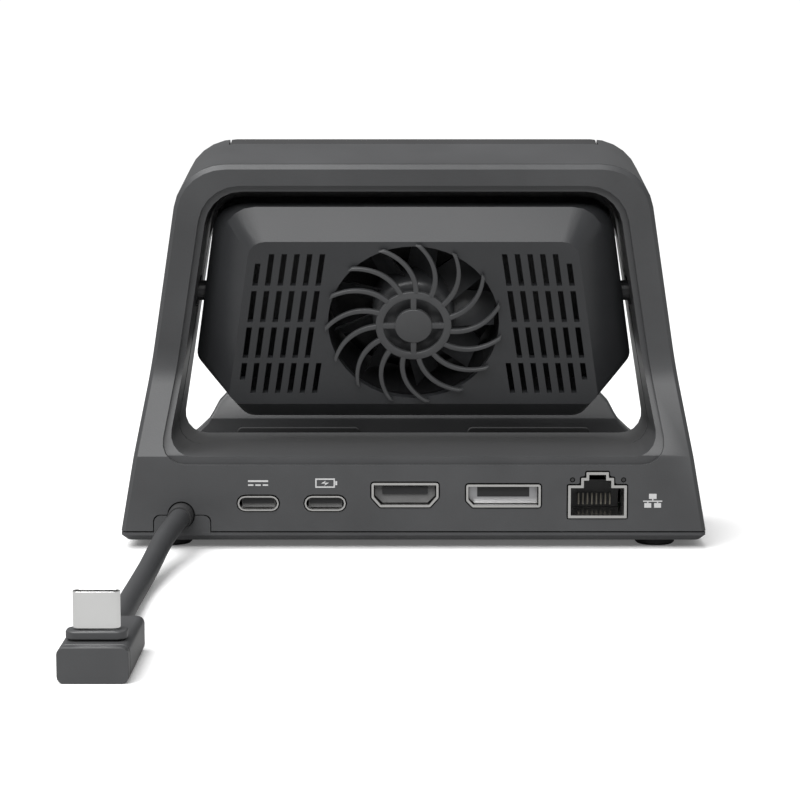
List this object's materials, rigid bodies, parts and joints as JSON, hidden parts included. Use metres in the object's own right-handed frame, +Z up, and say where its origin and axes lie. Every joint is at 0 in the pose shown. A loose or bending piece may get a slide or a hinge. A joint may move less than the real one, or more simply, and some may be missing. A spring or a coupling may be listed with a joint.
{
  "type": "laptop docking station",
  "caption": "Stand-style docking station with an arched back, rear ports, a tilting cooling-fan pod and a short tethered plug.",
  "frame": {"origin": "centre of the bounding box of the dock without its cord, on the desk under the feet", "axes": "+X to the right seen from the port panel, +Y from the port panel towards the console side, +Z up"},
  "size_m": [0.1314, 0.2015, 0.0913],
  "materials": {
    "housing": "fine matt moulded texture",
    "dark": "satin black moulded",
    "metal": "nickel plated",
    "rubber": "matt",
    "board": "solder mask",
    "lens": "clear light pipe"
  },
  "bodies": {
    "stand": {"rear_cover": "housing", "main_housing": "housing", "front_ledge": "housing", "bottom_cover": "housing", "plug_body": "housing", "plug_cap": "housing", "plug_neck": "housing", "backrest_bumper": "rubber", "foot_rear_left": "rubber", "foot_rear_right": "rubber", "foot_front_left": "rubber", "foot_front_right": "rubber", "ledge_pad_left": "rubber", "ledge_pad_right": "rubber", "strain_relief": "rubber", "cable": "rubber", "base_screw_1": "metal", "base_screw_2": "metal", "base_screw_3": "metal", "base_screw_4": "metal", "ballast_plate": "metal", "usb_c_power_shell": "metal", "usb_c_data_shell": "metal", "hdmi_shell": "metal", "displayport_shell": "metal", "ethernet_shell": "metal", "plug_shell": "metal", "usb_c_power_contact_tongue": "dark", "usb_c_data_contact_tongue": "dark", "hdmi_contact_tongue": "dark", "displayport_contact_tongue": "dark", "ethernet_contact_block": "dark", "pivot_bush_left": "dark", "pivot_bush_right": "dark", "main_board": "board", "ethernet_light_left": "lens", "ethernet_light_right": "lens"},
    "pod": {"dust_filter": "rubber", "pod_rear_cover": "housing", "pod_front_cover": "housing", "fan_guard": "housing", "fan_frame": "dark", "fan_motor": "metal", "pivot_pin_left": "dark", "pivot_pin_right": "dark"},
    "fan": {"impeller": "dark"}
  },
  "joints": [
    {"name": "pod_tilt", "type": "hinge", "parent": "stand", "child": "pod", "pos_m": [0, -0.02147, 0.057], "axis": [1, 0, 0], "range_deg": [-6, 12]},
    {"name": "fan_spin", "type": "hinge", "parent": "pod", "child": "fan", "pos_m": [0, -0.02089, 0.05556], "axis": [0, -0.9272, -0.3746], "continuous": true}
  ]
}
